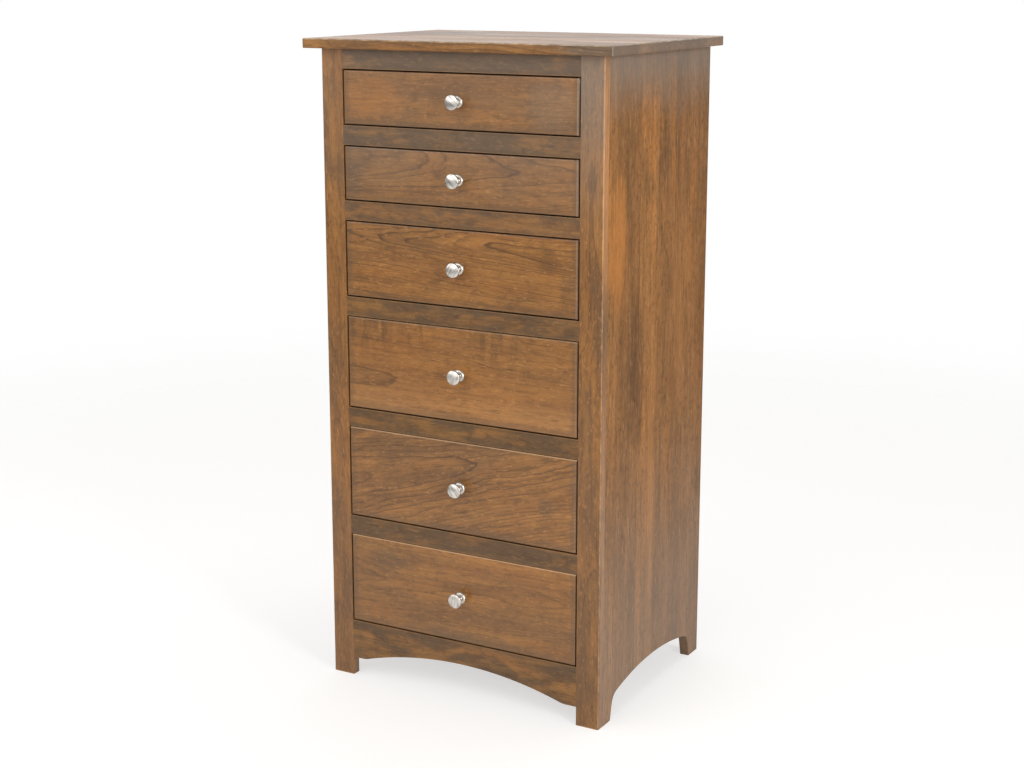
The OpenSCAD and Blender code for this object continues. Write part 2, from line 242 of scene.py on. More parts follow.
# How squarely a face looks along an axis when end grain or the painted shade and sheen begins on it
# and is full
END_FACING = 0.35, 0.9
HAZE_FACING = 0.3, 0.9

# Heights over the floor between which the low darkening and the painted reflection of the floor
# fade, and where the painted shade and sheen by the top board is full, with the noise that makes it
# ragged and how far
LOW_STAIN = 0.05, 0.55
LOW_HAZE = 0.08, 0.6
HAZE_FULL = 1.33
HAZE_NOISE = (16, 16, 9), 3, 0.6
HAZE_RAGGED = 0.08

# A patch of stain fades between these shares of its reach, once its noise is added
PATCH_FADE = 0.75, 1.45
PATCH_NOISE = (30, 30, 14), 4, 0.65
PATCH_RAGGED = 0.9

# Distances from an edge between which its darkening and its rubbing with a painted highlight fade,
# with their noise
RESIDUE_FADE = -0.007, 0.003
RUB_FADE = 0.0015, 0.0045
RUB_RAGGED = 0.004
EDGE_NOISE = (45, 45, 45), 3, 0.65

# The painted shade in the gap round a drawer front: where its dark rises and fades behind the face,
# and where it goes from the upper edge's share to all of it
GAP_BEGINS = 0.0001, 0.0010
GAP_ENDS = 0.0045, 0.008
GAP_BELOW = 0.0025, 0.0040

# The painted highlight fades between these places under the upper edge and behind the face, and the
# grey painted highlight rises and fades between these in from the right end
LINE_BELOW = 0.0008, 0.0022
LINE_BEHIND = 0.006, 0.009
GLARE_RISE = 0.0026, 0.0032
GLARE_FALL = 0.0044, 0.0060

# How far beyond the board an edge without marks is taken to be, so that none reach it
UNMARKED = 0.1

# How high each layer stands in the relief, and how strong and deep the relief is
THREAD_RISE = 0.35
PORE_RISE = -0.8
RING_RISE = -0.25
DASH_RISE = -0.5
RELIEF_STRENGTH = 0.3
RELIEF_DEPTH = 0.0003

# As the sum of fibre and cloud noise goes through a range, roughness goes from less to more than
# the board's own, and rubbing takes some away
ROUGH_RANGE = 0.7, 1.3
ROUGH_LESS = 0.05
ROUGH_MORE = 0.07
RUBBED_SMOOTHER = 0.12
WOOD_IOR = 1.4
COAT_ROUGHNESS = 0.16


class Wood(Graph):
    """The material of one board while it's made.

    Its grain runs along an axis and leans from it by an angle in degrees. It's cut from a log whose
    pith passes through a point. A board that's glued up has its glue lines at the staves' places
    along Y. box is its lowest and highest corners, from which its edges are known.
    """

    def __init__(self, name, along, pith, palette, box, lean=0.0, staves=(), **traits):
        super().__init__(bpy.data.materials.new(name))
        self.traits = {**TRAITS, **traits}
        self.tone = {key: colour(code) for key, code in palette.items()}
        self.look = self.tone["mid"]
        self.low, self.high = box
        self.along = along
        self.spot = self.where()
        self.spot_xyz = self.xyz(self.spot)
        self.normal_xyz = self.xyz(self.add("NewGeometry").outputs["Normal"])
        turn = Euler((0, math.radians(lean), 0)).to_matrix() @ Euler(GRAIN_TURN[along]).to_matrix()
        shift = -(turn @ Vector(pith))
        shift.x += random.Random(name).uniform(0, LOG_LENGTH)
        # The place in the log, whose pith lies along X
        self.place = self.add("Mapping", {"Vector": self.spot, "Location": shift,
                                          "Rotation": turn.to_euler("XYZ")}).outputs[0]
        self.stave_tint = self.glue_up(staves) if staves else None

    def glue_up(self, staves):
        """Gives each stave its own place in the log, and returns its tint."""
        index = 0.0
        for edge in staves:
            index = self.plus(self.math("GREATER_THAN", self.spot_xyz[1], edge), index)
        stave = self.add("TexWhiteNoise", {"W": index}, noise_dimensions="1D").outputs
        leap = self.vector("MULTIPLY", stave["Color"], STAVE_LEAP)
        self.place = self.vector("ADD", self.place, leap)
        return stave["Value"]

    def layer(self, kind):
        """The noise of a layer, from 0 to 1."""
        scale = (kind.along, kind.across, kind.across)
        return self.noise(self.place, scale, kind.detail, kind.roughness, kind.distortion)

    def share(self, kind, most=1.0, noise=None):
        """How much of a layer shows, up to most."""
        noise = self.layer(kind) if noise is None else noise
        return self.between(noise, kind.low, kind.high, 0, most)

    def stain(self, share, tone):
        """Lays a share of a tone over the look so far."""
        self.look = self.mix(share, self.look, self.tone[tone])

    def facing(self, axis):
        """How squarely a face looks along an axis, from 0 to 1."""
        return self.math("ABSOLUTE", self.normal_xyz[AXES.index(axis)])

    def growth_rings(self):
        """How dark each place is by its ring: the distance from the pith, bent by slow and quick
        waves along the grain.
        """
        t = self.traits
        size, along, across = t["curl"]
        radius = self.length(self.vector("MULTIPLY", self.place, (0, 1, 1)))
        for wave, amount in ((self.xyz(self.place)[0], t["taper"]),
                             (self.layer(RING_BEND), RING_BEND_SIZE),
                             (self.layer(Layer(along, across)), size)):
            radius = self.plus(radius, self.times(wave, amount))
        count = self.math("DIVIDE", radius, t["ring_width"])
        phase = self.math("FRACT", count)
        year = self.add("TexWhiteNoise", {"W": self.math("FLOOR", count)},
                        noise_dimensions="1D").outputs[0]
        dark = self.plus(self.between(phase, *DARKENING), self.between(phase, *RING_LINE))
        return self.times(dark, self.between(phase, *PALE_START),
                          self.math("POWER", year, t["years"]))

    def lay_ground(self, clouds):
        """The look under rings, fibres and pores."""
        t, z = self.traits, self.spot_xyz[2]
        middle = (self.low.z + self.high.z) / 2
        self.stain(self.share(BROAD), "light")
        self.stain(self.share(WARM, t["warm"]), "warm")
        self.stain(self.share(clouds_of(t), t["clouds"], clouds), "cloud")
        self.stain(self.share(mottle_of(t), t["mottle"]), "dark")
        if t["ripple"]:
            wave = self.times(self.share(RIPPLE, t["ripple"]), self.share(RIPPLE_GROUPS),
                              self.between(z, middle, self.high.z))
            self.stain(wave, "dark")
        if t["low_light"]:
            self.stain(self.between(z, self.low.z, middle, t["low_light"], 0), "worn")
        if self.stave_tint:
            self.stain(self.between(self.stave_tint, 0, 1, 0, STAVE_DARK), "dark")
        for patch in t["patches"]:
            self.stain_patch(*patch)

    def stain_patch(self, centre, reach, tone, strength):
        """A soft patch of another tone, mostly where the stain came out otherwise, and in some
        painted light or a painted reflection.
        """
        off = self.vector("SUBTRACT", self.spot, centre)
        off = self.vector("MULTIPLY", off, [1 / size for size in reach])
        ragged = self.times(self.noise(self.spot, *PATCH_NOISE), PATCH_RAGGED)
        away = self.plus(self.length(off), ragged)
        self.stain(self.between(away, *PATCH_FADE, strength, 0), tone)

    def height_marks(self):
        """Darker towards the floor, a grey of painted shade and sheen by the top board, and a grey
        painted reflection of the floor near it.
        """
        t, z = self.traits, self.spot_xyz[2]
        if t["low_down"]:
            self.stain(self.between(z, *LOW_STAIN, t["low_down"], 0), "dark")
        # Painted shade and sheen: a grey veil under the top board's overhang
        if t["haze"]:
            ragged = self.times(self.noise(self.spot, *HAZE_NOISE), HAZE_RAGGED)
            veil = self.between(self.plus(z, ragged), t["haze_from"], HAZE_FULL, 0, t["haze"])
            if t["haze_on"]:
                level = self.between(self.facing(t["haze_on"]), *HAZE_FACING)
                veil = self.times(veil, level)
            self.stain(veil, "haze")
        # Painted reflection of the pale floor: a grey veil near it
        if t["haze_low"]:
            self.stain(self.between(z, *LOW_HAZE, t["haze_low"], 0), "haze")

    def edge_marks(self):
        """Darker beside the edges, and edges rubbed light with a painted highlight. Returns how
        much they're lightened.
        """
        t, low, high = self.traits, self.low, self.high
        if t["sunk"]:
            # The upper edge of a drawer front has marks of its own
            high = high + Vector((0, 0, UNMARKED))
        off = self.vector("ABSOLUTE", self.vector("SUBTRACT", self.spot, (low + high) / 2))
        x, y, z = self.xyz(self.vector("SUBTRACT", (high - low) / 2, off))
        # On a face one of the three distances is nothing, and the middle one leads to the edge
        edge = self.math("MAXIMUM", self.math("MINIMUM", x, y),
                         self.math("MINIMUM", self.math("MAXIMUM", x, y), z))
        ragged = self.noise(self.spot, *EDGE_NOISE)
        near = self.math("SUBTRACT", edge, self.times(ragged, t["residue_reach"]))
        self.stain(self.between(near, *RESIDUE_FADE, t["residue"], 0), "cloud")
        # Edges rubbed light, which also paints their highlight
        near = self.plus(edge, self.times(ragged, RUB_RAGGED))
        rubbed = self.between(near, *RUB_FADE, t["worn"], 0)
        self.stain(rubbed, "worn")
        return rubbed

    def gap_marks(self):
        """Painted shade, dark, in the gap round the front of a drawer front's edges. Some have a
        painted highlight along the upper edge, and the right end has a grey painted highlight
        beside its eased edge.
        """
        t = self.traits
        x, y, z = self.spot_xyz
        behind = self.math("SUBTRACT", y, self.low.y)
        below = self.math("SUBTRACT", self.high.z, z)
        inward = self.math("SUBTRACT", self.high.x, x)
        # Painted shade in the gap round the front
        gap = self.times(self.between(behind, *GAP_BEGINS, 0, t["sunk"]),
                         self.between(behind, *GAP_ENDS, 1, 0),
                         self.between(below, *GAP_BELOW, t["sunk_top"], 1))
        self.stain(gap, "pore")
        # Painted highlight along the upper edge
        line = self.times(self.between(below, *LINE_BELOW, t["top_line"], 0),
                          self.between(behind, *LINE_BEHIND, 1, 0))
        self.stain(line, "line")
        # Grey painted highlight beside the right end's eased edge
        line = self.times(self.between(inward, *GLARE_RISE, 0, t["end_line"]),
                          self.between(inward, *GLARE_FALL, 1, 0))
        self.stain(line, "glare")

    def made(self):
        """Lays the look, then the relief and the roughness, and returns the material."""
        t = self.traits
        rings = self.growth_rings()
        fibre, thread = self.layer(FIBRE), self.layer(THREAD)
        clouds = self.layer(clouds_of(t))
        pores, dashes = self.share(PORES), self.share(DASHES)
        self.lay_ground(clouds)
        self.stain(self.share(FIBRE, t["streaks"], fibre), "dark")
        self.stain(self.times(rings, t["rings"]), "dark")
        self.stain(self.share(THREAD, THREAD_DARK, thread), "dark")
        self.stain(self.times(dashes, t["flecks"]), "pore")
        self.stain(self.times(pores, PORE_DARK), "pore")
        self.stain(self.times(self.share(glints_of(t)), t["glints"]), "glint")
        self.height_marks()
        rubbed = self.edge_marks()
        if t["sunk"]:
            self.gap_marks()
        self.stain(self.between(self.facing(self.along), *END_FACING, 0, t["ends"]), "end")

        height = self.plus(self.times(thread, THREAD_RISE), self.times(pores, PORE_RISE),
                           self.times(rings, RING_RISE), self.times(dashes, DASH_RISE))
        bump = self.add("Bump", {"Strength": RELIEF_STRENGTH, "Distance": RELIEF_DEPTH,
                                 "Height": height}).outputs[0]
        rough = self.between(self.plus(fibre, clouds), *ROUGH_RANGE, t["rough"] - ROUGH_LESS,
                             t["rough"] + ROUGH_MORE)
        rough = self.math("SUBTRACT", rough, self.times(rubbed, RUBBED_SMOOTHER))
        return self.finish(self.add("BsdfPrincipled", {
            "Base Color": self.look, "Roughness": rough, "Normal": bump, "IOR": WOOD_IOR,
            "Specular IOR Level": t["specular"], "Coat Weight": t["coat"],
            "Coat Roughness": COAT_ROUGHNESS}))


# The noise of a metal's haze and smears, the values between which both come in, how dull the
# haze is, and how far the smears take the roughness down and up
METAL_HAZE = (420, 420, 420), 3, 0.6
METAL_SMEAR = (90, 90, 90), 2, 0.5
METAL_RANGE = 0.3, 0.7
METAL_DULL = 0.35
METAL_SMOOTHER = 0.05
METAL_ROUGHER = 0.06

# The distance between turning marks and how high they stand in the relief, and how strong and
# deep the relief is
MARK_STEP = 0.00035
MARK_RISE = 0.3
METAL_STRENGTH = 0.12
METAL_DEPTH = 0.0001

# Anisotropy of turned metal, its rotation in turns, and the anisotropy of brushed metal
TURNED_SHEEN = 0.5
TURNED_WAY = 0.25
BRUSHED_SHEEN = 0.7

# Broad and fine strokes of brushing: their noise, and their range with how dark they get. The broad
# ones also paint the dark bands of reflection across a knob's face
BROAD_STROKES = ((30, 190, 1), 2, 0.5), (0.36, 0.66, 0, 0.75)
FINE_STROKES = ((90, 1400, 1), 3, 0.6), (0.4, 0.7, 0, 0.25)


def metal(name, code, dull_code, roughness, turned_about=None, brushed=False):
    """Satin metal. It can be turned, with fine marks round the Y axis through a point, or brushed
    along the mesh's brush map.
    """
    g = Graph(bpy.data.materials.new(name))
    where = g.where()
    haze = g.noise(where, *METAL_HAZE)
    dull = g.between(g.noise(where, *METAL_SMEAR), *METAL_RANGE, roughness - METAL_SMOOTHER,
                     roughness + METAL_ROUGHER)
    tint = g.mix(g.between(haze, *METAL_RANGE, 0, METAL_DULL), colour(code), colour(dull_code))
    height, sheen = haze, {}
    if turned_about is not None:
        around = g.vector("MULTIPLY", g.vector("SUBTRACT", where, turned_about), (1, 0, 1))
        marks = g.math("SINE", g.times(g.length(around), 2 * math.pi / MARK_STEP))
        height = g.plus(g.times(marks, MARK_RISE), haze)
        tangent = g.add("Tangent", direction_type="RADIAL", axis="Y").outputs[0]
        sheen = {"Anisotropic": TURNED_SHEEN, "Anisotropic Rotation": TURNED_WAY,
                 "Tangent": tangent}
    if brushed:
        strokes = g.add("UVMap", uv_map="brush").outputs[0]
        # The broad strokes also paint dark bands of reflection on the face
        for noise, darker in (BROAD_STROKES, FINE_STROKES):
            share = g.between(g.noise(strokes, *noise), *darker)
            tint = g.mix(share, tint, colour(BRUSHED_DARK))
        tangent = g.add("Tangent", direction_type="UV_MAP", uv_map="brush").outputs[0]
        sheen = {"Anisotropic": BRUSHED_SHEEN, "Tangent": tangent}
    bump = g.add("Bump", {"Strength": METAL_STRENGTH, "Distance": METAL_DEPTH,
                          "Height": height}).outputs[0]
    return g.finish(g.add("BsdfPrincipled", {"Base Color": tint, "Metallic": 1.0,
                                             "Roughness": dull, "Normal": bump, **sheen}))


def dress(node, material):
    mesh = NODES[node].data
    if mesh.materials:
        NODES[node].material_slots[0].material = material
    else:
        mesh.materials.append(material)


# How near points are that get welded, the steps of a rounding, and the least angle of an edge
# that gets one
WELD = 0.00001
SANDED_STEPS = 2
HARD_EDGE = math.radians(40)


def round_edges(node, width):
    """Eases the hard edges of a board a little, as sanding does."""
    piece = NODES[node]
    weld = piece.modifiers.new("weld", "WELD")
    weld.merge_threshold = WELD
    bevel = piece.modifiers.new("sanded", "BEVEL")
    bevel.width = width
    bevel.segments = SANDED_STEPS
    bevel.limit_method = "ANGLE"
    bevel.angle_limit = HARD_EDGE


def face_pith(node, normal, deep, aside, across="Z"):
    """A pith line behind the middle of a board's face, and aside of it across the grain."""
    low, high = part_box(node)
    place = (low + high) / 2
    sign, axis = normal
    k = AXES.index(axis)
    place[k] = high[k] - deep if sign == "+" else low[k] + deep
    place[AXES.index(across)] += aside
    return place


def marked_box(node, unmarked):
    """A board's corners for its edge marks, moved out at the sides, such as +Y, that get none."""
    low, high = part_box(node)
    for sign, axis in unmarked:
        if sign == "+":
            high[AXES.index(axis)] += UNMARKED
        else:
            low[AXES.index(axis)] -= UNMARKED
    return low, high


def dress_in_wood(node, along, pith, palette, box, **traits):
    dress(node, Wood("wood_" + node, along, pith, palette, box, **traits).made())


# The pith of a plain board: how far aside, in the board's widths, and how far behind the face it
# may lie, and how far its rings drift along the grain
PITH_ASIDE = -0.5, 0.5
PITH_DEEP = 0.03, 0.08
TAPER = 0.04


def board(node, along, normal, across, palette, glued=(), **traits):
    """Dresses a plain board: flat sawn where the pith is near, straight grained where it's aside.

    Glued names the sides, such as +Y, at which it's glued to another piece and has no marked edge.
    """
    chance = random.Random(node)
    low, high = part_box(node)
    aside = chance.uniform(*PITH_ASIDE) * (high - low)[AXES.index(across)]
    deep = chance.uniform(*PITH_DEEP)
    taper = TAPER * chance.choice((-1, 1))
    dress_in_wood(node, along, face_pith(node, normal, deep, aside, across), palette,
                  marked_box(node, glued), taper=taper, **traits)


# How far behind a sheet of plywood the pith of its veneer lies
VENEER_DEEP = 0.16


def plywood(node, along, thin):
    """Dresses a sheet, thin along that axis, in the broad figure of rotary-cut veneer."""
    low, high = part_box(node)
    pith = (low + high) / 2
    pith[AXES.index(thin)] -= VENEER_DEEP
    dress(node, Wood("ply_" + node, along, pith, VENEER, (low, high), rings=0.75, clouds=0.1,
                     ring_width=0.006, taper=0.10, rough=0.5, coat=0.0, worn=0.1,
                     residue=0.1).made())


def patches(rows, axis, at, deep, lift=0.0):
    """Patches of a face that looks along an axis, with their middles at a place on it.

    A row has a patch's place and reach along the face's two axes, its tone and its strength. All
    reach equally deep along the axis, and lift is added to each second place.
    """
    k = AXES.index(axis)
    made = []
    for first, second, wide, tall, tone, strength in rows:
        centre, reach = [first, second + lift], [wide, tall]
        centre.insert(k, at)
        reach.insert(k, deep)
        made.append((centre, reach, tone, strength))
    return made


# Patches of stain on the sides, along Y and Z
SIDE_PATCHES = {
    "right": ((-0.075, 0.68, 0.055, 0.19, "dark", 0.5), (-0.165, 0.93, 0.06, 0.17, "warm", 0.75),
              (-0.005, 0.42, 0.024, 0.46, "light", 0.55), (0.04, 1.08, 0.03, 0.08, "dark", 0.3),
              (0.12, 0.80, 0.06, 0.35, "light", 0.4), (0.23, 0.72, 0.02, 0.24, "dark", 0.35)),
    "left": ((0.02, 0.55, 0.06, 0.2, "dark", 0.4), (-0.12, 0.35, 0.04, 0.3, "light", 0.4),
             (0.15, 0.95, 0.05, 0.12, "dark", 0.3))}

# Patches on the stiles, along X and Z, how far before the sides' front edges their middles lie,
# and each stile's grey of painted shade and sheen by the top board. The orange patch on the right
# stile's outer face paints light there.
STILE_PATCHES = {
    "right": ((0.305, 1.08, 0.0035, 0.3, "flank", 0.65), (0.285, 0.97, 0.025, 0.1, "light", 0.6)),
    "left": ((-0.28, 1.10, 0.02, 0.1, "light", 0.3),)}
PATCHES_BEFORE = 0.1
STILE_HAZE = {"left": 0.1, "right": 0.5}

# Patches on the top board, along X and Y, and its glue lines as shares of its depth. The last
# patch, grey, paints a reflection along the right part of the front edge.
TOP_PATCHES = ((-0.2, 0.13, 0.15, 0.13, "cloud", 0.6), (-0.27, -0.2, 0.09, 0.06, "light", 0.5),
               (0.30, -0.25, 0.12, 0.012, "end", 0.5))
TOP_STAVES = (0.21, 0.44, 0.62, 0.83)

# Each rail from the top down, with where its dark clouds begin, its mottle and its coat. The top
# rail's early clouds also paint the shadow of the top board's overhang
RAIL_STAIN = (("top_rail", 0.30, 0.55, 0.4), ("rail_1", 0.34, 0.7, 0.4),
              ("rail_2", 0.40, 0.65, 0.3), ("rail_3", 0.40, 0.6, 0.2),
              ("rail_4", 0.37, 0.5, 0.0), ("rail_5", 0.35, 0.5, 0.1), ("apron", 0.39, 0.6, 0.1))

# Widths of the staves in a side, and the least that its last one may be
STAVE_WIDTH = 0.045, 0.09
LAST_STAVE = 0.03


def dress_side(side, normal):
    """Dresses a side. Its front edge is glued to the stile, so no edge is marked there."""
    node = f"side_{side}"
    low, high = marked_box(node, ("-Y",))
    chance = random.Random("staves " + side)
    staves = []
    edge = low.y + chance.uniform(*STAVE_WIDTH)
    while edge <= high.y - LAST_STAVE:
        staves.append(edge)
        edge += chance.uniform(*STAVE_WIDTH)
    face = high.x if normal == "+X" else low.x
    pith = face_pith(node, normal, deep=0.07, aside=0.02, across="Y")
    # The grey from high up is painted shade and sheen under the top board, and the grey low down a
    # painted reflection of the floor
    dress_in_wood(node, "Z", pith, SIDES, (low, high), staves=staves, rings=0.5,
                  ring_width=0.0036, streaks=0.3, mottle=0.7, mottle_size=(0.013, 0.009),
                  clouds=0.55, cloud_from=0.48, cloud_size=(0.2, 0.08), warm=0.8, residue=0.3,
                  glints=0.45, glint_waves=32, worn=0.2, haze=0.7, haze_from=1.17,
                  haze_low=0.42, ends=0.3, rough=0.46, specular=0.25, coat=0.0,
                  patches=patches(SIDE_PATCHES[side], "X", face, deep=0.1))
    round_edges(node, width=0.0004)


def dress_stile(side, inward):
    """Dresses a stile. Its patches are centred before it, so they fade sooner than their reach."""
    node = f"stile_{side}"
    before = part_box(f"side_{side}")[0].y - PATCHES_BEFORE
    # The grey high on the front is painted shade and sheen by the top board, and the rubbed edges
    # also paint the highlight on the right corner
    board(node, "Z", "-Y", "X", STILES, glued=("+Y", inward, "+Z"), rings=0.5, clouds=0.5,
          warm=0.3, cloud_from=0.42, cloud_size=(0.2, 0.06), worn=0.7, haze=STILE_HAZE[side],
          haze_from=0.94, haze_on="Y", low_down=0.25, residue=0.0, ends=0.3,
          patches=patches(STILE_PATCHES[side], "Y", before, deep=0.4))
    round_edges(node, width=0.0006)


def dress_top():
    node = "top_panel"
    low, high = marked_box(node, ("-Z",))
    staves = [low.y + share * (high.y - low.y) for share in TOP_STAVES]
    pith = face_pith(node, "+Z", deep=0.09, aside=0.1, across="Y")
    dress_in_wood(node, "X", pith, TOP, (low, high), staves=staves, clouds=0.45, rough=0.3,
                  coat=0.0, worn=0.85, ends=0.5,
                  patches=patches(TOP_PATCHES, "Z", high.z, deep=0.05))
    round_edges(node, width=0.0009)


def dress_frame():
    for side, outward, inward in (("left", "-X", "+X"), ("right", "+X", "-X")):
        dress_side(side, outward)
        dress_stile(side, inward)
    for node, clouds_from, mottle, coat in RAIL_STAIN:
        board(node, "X", "-Y", "Z", RAILS, glued=("+Y",), rings=0.4, warm=0.5, clouds=0.8,
              cloud_from=clouds_from, cloud_size=(0.09, 0.03), mottle=mottle, residue=0.5,
              glints=0.2, coat=coat, haze=0.15, haze_from=0.85)
        round_edges(node, width=0.0004)
    dress_top()


def dress_hidden():
    for node, along, normal, across in (
            ("back_rails", "X", "+Y", "Z"), ("runners", "Y", "+Z", "X"),
            ("drawer_stops", "Y", "+Z", "X"), ("top_cleats", "Y", "-Z", "X")):
        board(node, along, normal, across, MAPLE, clouds=0.3, rough=0.5, coat=0.0, streaks=0.3)
    plywood("back_panel", "Z", "Y")
    dress("screws", metal("zinc_screws", ZINC, ZINC_DULL, roughness=0.35))


# The figure of each drawer front: the pith's depth behind it and its place above the middle,
# the lean of the grain in degrees, its patches along X and along Z from the middle, and
# the traits in which it differs, among them its painted highlights along the edges and its grey
# of painted shade and sheen
FRONTS = {
    1: (0.20, 0.30, 0.0,
        ((-0.19, 0.0, 0.1, 0.06, "warm", 0.4), (0.2, 0.0, 0.08, 0.08, "haze", 0.15)),
        {"rings": 0.35, "clouds": 0.45, "haze": 0.08, "haze_from": 0.9, "end_line": 0.28}),
    2: (0.07, 0.03, 1.0,
        ((-0.235, 0.0, 0.025, 0.06, "cloud", 0.5), (0.12, 0.0, 0.05, 0.05, "cloud", 0.3),
         (-0.16, 0.0, 0.07, 0.06, "light", 0.4)),
        {"clouds": 0.45, "warm": 0.1, "haze": 0.35, "haze_from": 0.9, "end_line": 0.25}),
    3: (0.0318, 0.045, -1.0,
        ((0.19, 0.03, 0.04, 0.03, "dark", 0.35), (0.23, -0.02, 0.02, 0.06, "cloud", 0.35)),
        {"rings": 0.85, "years": 1.3, "taper": -0.03, "warm": 0.3, "clouds": 0.25,
         "sunk_top": 0.85, "end_line": 0.18}),
    4: (0.12, -0.05, 0.0, (),
        {"ripple": 0.65, "warm": 0.4, "clouds": 0.15, "low_light": 0.45, "sunk_top": 0.5,
         "top_line": 0.25, "end_line": 0.08}),
    5: (0.035, 0.045, 13.0, ((0.19, -0.01, 0.03, 0.03, "cloud", 0.5),),
        {"rings": 0.8, "ring_width": 0.007, "taper": 0.06, "years": 0.6, "streaks": 0.5,
         "curl": (0.011, 15, 24), "sunk_top": 0.0, "top_line": 0.6, "end_line": 0.08}),
    6: (0.10, 0.02, 1.5,
        ((0.0, -0.08, 0.2, 0.02, "cloud", 0.5), (-0.17, 0.05, 0.06, 0.03, "cloud", 0.4)),
        {"clouds": 0.4, "warm": 0.25, "sunk_top": 0.0, "top_line": 0.6})}


def dress_front(i):
    deep, up, lean, rows, traits = FRONTS[i]
    node = f"drawer_{i}_front"
    low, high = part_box(node)
    # The dark in the gap round the front is painted shade, and its rubbed edges also paint
    # highlights
    dress_in_wood(node, "X", face_pith(node, "-Y", deep, up), STAINED, (low, high), lean=lean,
                  patches=patches(rows, "Y", low.y, deep=0.05, lift=(low.z + high.z) / 2),
                  ends=0.6, sunk=0.85, residue=0.4, residue_reach=0.028, **traits)
    round_edges(node, width=0.0004)


def dress_drawer(i):
    dress_front(i)
    for part, along, normal in (("side_left", "Y", "-X"), ("side_right", "Y", "+X"),
                                ("back", "X", "+Y")):
        node = f"drawer_{i}_{part}"
        board(node, along, normal, "Z", MAPLE, rings=0.4, clouds=0.25, rough=0.45, streaks=0.3)
        round_edges(node, width=0.0006)
    plywood(f"drawer_{i}_bottom", "X", "Z")
    dress(f"drawer_{i}_knob_screw", metal(f"zinc_screw_{i}", ZINC, ZINC_DULL, roughness=0.32))
    make_knob(i)


# Sizes of a knob besides its diameter and projection: the rise of its dome, the thickness and
# rounding of its rim, the slope under its head, its neck, and its swelling base
DOME = 0.003
RIM = 0.004
RIM_ROUND = 0.00175
UNDER = 0.0016
NECK = 0.0055
NECK_FLARE = 0.0015
BASE = 0.012
BASE_EDGE = 0.0008
BASE_RISE = 0.004

# Steps round a turned piece, and along each arc of its profile
TURN_STEPS = 96
BASE_STEPS = 12
NECK_STEPS = 24
RIM_STEPS = 8
DOME_STEPS = 16

# Each knob was screwed tight at its own angle in degrees, which its brushing shows
BRUSHING = {1: -45, 2: -50, 3: 55, 4: 62, 5: -60, 6: 85}

# A face of the head is brushed if it looks outwards more squarely than this
FACE_FRONT = 0.8


def new_piece(name, b):
    """A piece with the mesh built in b, whose faces are turned outwards."""
    bmesh.ops.recalc_face_normals(b, faces=b.faces)
    mesh = bpy.data.meshes.new(name)
    b.to_mesh(mesh)
    b.free()
    piece = bpy.data.objects.new(name, mesh)
    bpy.context.scene.collection.objects.link(piece)
    return piece


def lathe(name, profile, axis_point):
    """A turned solid. The profile is (radius, height) pairs, and its axis points to -Y."""
    b = bmesh.new()
    turn = [2 * math.pi * k / TURN_STEPS for k in range(TURN_STEPS)]
    rings = []
    for r, h in profile:
        if r == 0:
            rings.append([b.verts.new(axis_point + Vector((0, -h, 0)))])
        else:
            rings.append([b.verts.new(axis_point + Vector((r * math.cos(a), -h, r * math.sin(a))))
                          for a in turn])
    for inner, outer in zip(rings, rings[1:]):
        for k in range(TURN_STEPS):
            j = (k + 1) % TURN_STEPS
            if len(inner) == 1:
                b.faces.new((inner[0], outer[j], outer[k]))
            elif len(outer) == 1:
                b.faces.new((inner[k], inner[j], outer[0]))
            else:
                b.faces.new((inner[k], inner[j], outer[j], outer[k]))
    for face in b.faces:
        face.smooth = True
    return new_piece(name, b)


def arc(c, rx, rh, a0, a1, n):
    """Points on an ellipse about c = (radius, height), from angle a0 to a1 in degrees."""
    turn = [math.radians(a0 + (a1 - a0) * k / n) for k in range(n + 1)]
    return [(c[0] + rx * math.cos(a), c[1] + rh * math.sin(a)) for a in turn]


def knob_profile(head, out):
    """Profile of a knob whose head has that radius and whose face stands that far out."""
    dome_r = (head ** 2 + DOME ** 2) / (2 * DOME)
    dome_mid = out - dome_r
    rim = head - RIM_ROUND
    rim_mid = dome_mid + math.sqrt((dome_r - RIM_ROUND) ** 2 - rim ** 2)
    rim_turn = math.degrees(math.atan2(rim_mid - dome_mid, rim))
    head_low = out - DOME - RIM
    flare = NECK + NECK_FLARE
    neck_low = BASE_EDGE + BASE_RISE
    waist = (head_low - UNDER - neck_low) / 2
    points = [(0, 0), (BASE, 0)]
    points += arc((flare, BASE_EDGE), BASE - flare, BASE_RISE, 0, 90, BASE_STEPS)
    points += arc((flare, neck_low + waist), NECK_FLARE, waist, 270, 90, NECK_STEPS)[1:]
    points += arc((rim, head_low + RIM_ROUND), RIM_ROUND, RIM_ROUND, -90, 0, RIM_STEPS)
    points += arc((rim, rim_mid), RIM_ROUND, RIM_ROUND, 0, rim_turn, RIM_STEPS)
    points += arc((0, dome_mid), dome_r, dome_r, rim_turn, 90, DOME_STEPS)[1:-1]
    return points + [(0, out)]


def brush_face(mesh, centre, turn):
    """Lays straight brushing over the face of a knob, at an angle in degrees. The angle also moves
    the strokes along, so that no two knobs have the same ones.
    """
    a = math.radians(turn)
    layer = mesh.uv_layers.new(name="brush")
    for loop in mesh.loops:
        off = mesh.vertices[loop.vertex_index].co - centre
        layer.data[loop.index].uv = (off.x * math.cos(a) + off.z * math.sin(a) + turn,
                                     off.z * math.cos(a) - off.x * math.sin(a))
    for face in mesh.polygons:
        in_front = face.normal.y < -FACE_FRONT and face.center.y < centre.y - BASE
        face.material_index = 1 if in_front else 0


